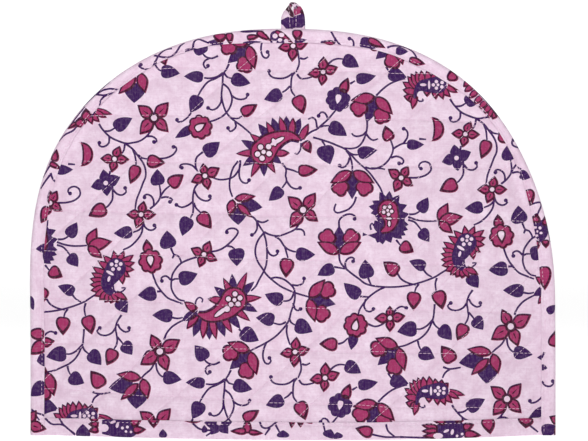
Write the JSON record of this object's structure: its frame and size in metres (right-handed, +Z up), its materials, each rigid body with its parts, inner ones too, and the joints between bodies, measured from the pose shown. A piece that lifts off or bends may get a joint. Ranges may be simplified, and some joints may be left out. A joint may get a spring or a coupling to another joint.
{
  "type": "tea cosy",
  "caption": "Arched quilted cotton tea cosy with a floral print, bound seam and hems, and a hanging loop on top; hollow, it stands open on its hem.",
  "frame": {"origin": "middle of the cosy's footprint, on the surface that the hem stands on", "axes": "+Z up, front panel faces -Y, +X to the right as seen from the front"},
  "size_m": [0.3314, 0.0912, 0.2727],
  "materials": {
    "printed_cotton": "quilted plain-weave cotton, pale lilac-pink ground with a magenta and purple flower and paisley print, matt",
    "binding_cotton": "folded strip of the same printed cotton, matt, stitched along its inner edge",
    "loop_cotton": "narrow folded strip of the same printed cotton, matt, stitched"
  },
  "bodies": {
    "root": {"front_panel": "printed_cotton", "back_panel": "printed_cotton", "front_hem_band": "binding_cotton", "back_hem_band": "binding_cotton", "arch_binding": "binding_cotton", "hanging_loop": "loop_cotton"}
  },
  "joints": []
}
